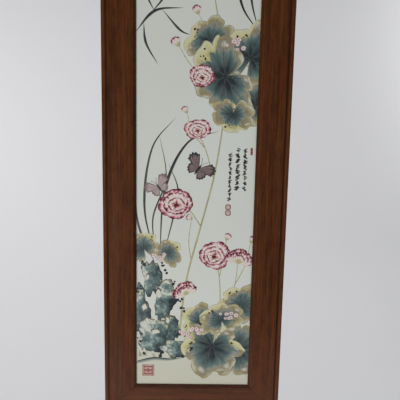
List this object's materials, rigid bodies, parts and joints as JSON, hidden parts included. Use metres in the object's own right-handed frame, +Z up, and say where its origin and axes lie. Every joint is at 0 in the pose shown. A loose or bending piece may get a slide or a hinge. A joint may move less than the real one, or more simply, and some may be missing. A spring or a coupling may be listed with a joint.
{
  "type": "framed porcelain plaque",
  "caption": "Tall narrow painted porcelain slab in a mitred hardwood frame with a beaded edge, hung on a wall by keyhole plates.",
  "frame": {"origin": "on the back of the top rail, on the centre line, level with the necks of the keyhole plates", "axes": "+Z up along the plaque, the painted front faces -Y, the back lies in the plane y = 0 and faces +Y, +X to the right as seen from the front"},
  "size_m": [0.312, 0.024, 0.868],
  "materials": {
    "hardwood": "reddish brown hardwood, satin oil and wax",
    "glazed_porcelain": "glossy pale grey-green white glaze, painted over the glaze",
    "board_wood": "plain unfinished thin board",
    "brass": "dull brass"
  },
  "bodies": {
    "root": {"porcelain_slab": "glazed_porcelain", "stile_left": "hardwood", "stile_right": "hardwood", "rail_top": "hardwood", "rail_bottom": "hardwood", "back_board": "board_wood", "keyhole_plate_left": "brass", "keyhole_plate_right": "brass", "plate_screw_left_top": "brass", "plate_screw_left_bottom": "brass", "plate_screw_right_top": "brass", "plate_screw_right_bottom": "brass", "board_screw_01": "brass", "board_screw_02": "brass", "board_screw_03": "brass", "board_screw_04": "brass", "board_screw_05": "brass", "board_screw_06": "brass", "board_screw_07": "brass", "board_screw_08": "brass", "board_screw_09": "brass", "board_screw_10": "brass"}
  },
  "joints": []
}
